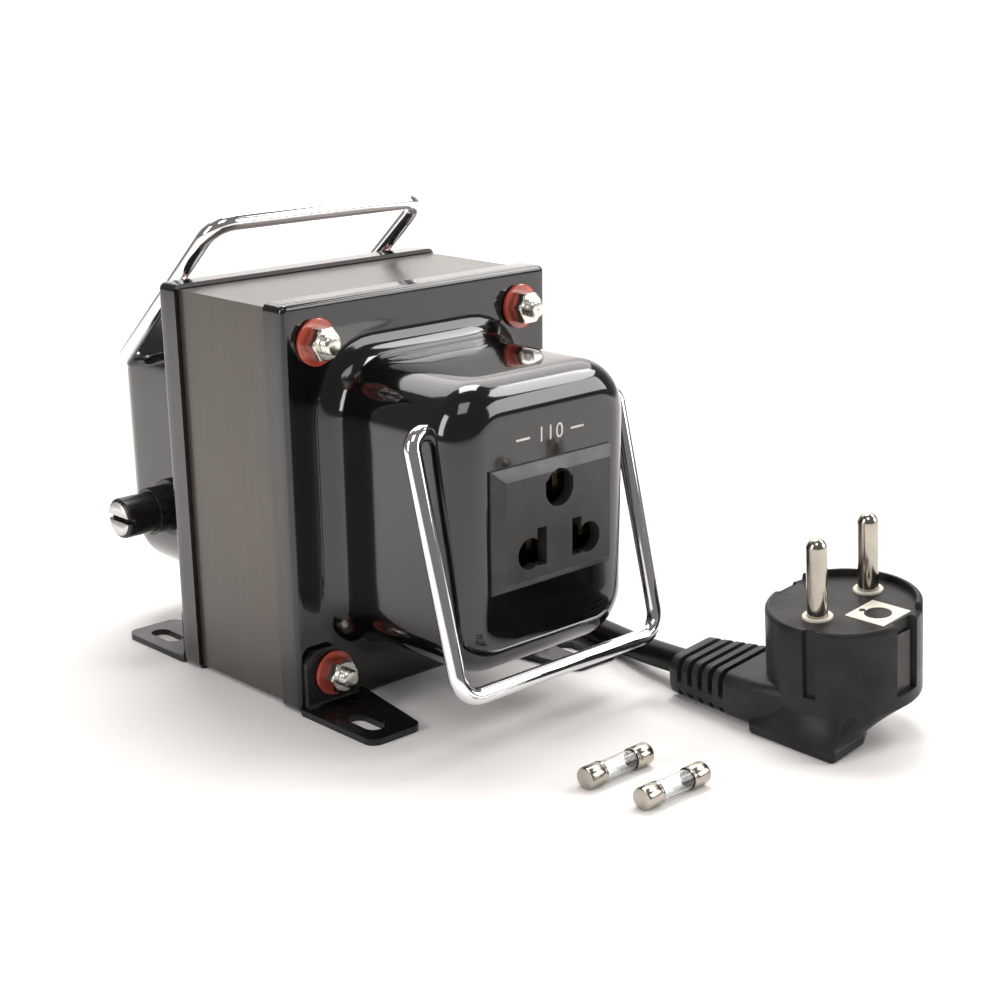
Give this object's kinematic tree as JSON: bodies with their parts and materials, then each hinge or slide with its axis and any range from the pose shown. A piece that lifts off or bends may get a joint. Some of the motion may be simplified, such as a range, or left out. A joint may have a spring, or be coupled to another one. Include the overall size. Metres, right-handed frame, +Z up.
{
  "type": "travel voltage converter",
  "caption": "Open-frame transformer voltage converter with drawn end bells, an outlet, wire carrying handles, slotted feet, a fuse holder and a corded mains plug.",
  "frame": {"origin": "centre of the four foot slots, on the floor plane under the middle of the core", "axes": "+X to the front, where the outlet is; +Y across, to the cord's side; +Z up"},
  "size_m": [0.2679, 0.1845, 0.1143],
  "materials": {
    "lamination_steel": "satin varnished steel",
    "black_enamel": "glossy black enamel",
    "chrome_wire": "polished chrome",
    "nickel": "nickel plate",
    "red_fibre": "red vulcanised fibre",
    "black_plastic": "black moulded plastic",
    "cream_plastic": "cream moulded plastic",
    "black_rubber": "black soft vinyl",
    "brass": "bare brass",
    "copper_enamel": "enamelled copper",
    "tape": "yellow insulating tape",
    "glass": "clear glass"
  },
  "bodies": {
    "root": {"e_laminations": "lamination_steel", "i_laminations": "lamination_steel", "bobbin": "cream_plastic", "winding": "copper_enamel", "winding_tape": "tape", "front_bell": "black_enamel", "rear_bell": "black_enamel", "foot_front_right": "black_enamel", "foot_front_left": "black_enamel", "foot_rear_right": "black_enamel", "foot_rear_left": "black_enamel", "through_bolts": "nickel", "front_nuts": "nickel", "front_washers": "red_fibre", "rear_washers": "red_fibre", "outlet_face": "black_plastic", "outlet_body": "black_plastic", "contact_line": "brass", "contact_neutral": "brass", "contact_earth": "brass", "fuse_holder_body": "black_plastic", "fuse_holder_nut": "black_plastic", "fuse_side_lug": "brass", "fuse_end_lug": "brass", "spare_fuse_glass": "glass", "spare_fuse_caps": "nickel", "spare_fuse_wires": "nickel", "cord_bushing": "black_rubber", "cord_lead": "black_rubber", "cord_coil": "black_rubber", "cord_tail": "black_rubber", "plug_body": "black_plastic", "plug_pins": "nickel", "plug_pin_collars": "cream_plastic", "plug_earth_clips": "nickel", "plug_earth_socket": "cream_plastic"},
    "front_handle": {"front_handle": "chrome_wire"},
    "rear_handle": {"rear_handle": "chrome_wire"},
    "fuse": {"fuse_glass": "glass", "fuse_caps": "nickel", "fuse_wire": "nickel"},
    "fuse_knob": {"fuse_knob": "black_plastic"}
  },
  "joints": [
    {"name": "front_handle_swing", "type": "hinge", "parent": "root", "child": "front_handle", "pos_m": [0.0575, 0, 0.073], "axis": [0, -1, 0], "range_deg": [-8, 211]},
    {"name": "rear_handle_swing", "type": "hinge", "parent": "root", "child": "rear_handle", "pos_m": [-0.0575, 0, 0.073], "axis": [0, -1, 0], "range_deg": [0, 222]},
    {"name": "fuse_draw", "type": "slide", "parent": "root", "child": "fuse", "axis": [0, -1, 0], "range_m": [0, 0.032]},
    {"name": "fuse_knob_turn", "type": "hinge", "parent": "fuse", "child": "fuse_knob", "pos_m": [-0.043, -0.0285, 0.036], "axis": [0, -1, 0], "range_deg": [0, 90]}
  ]
}
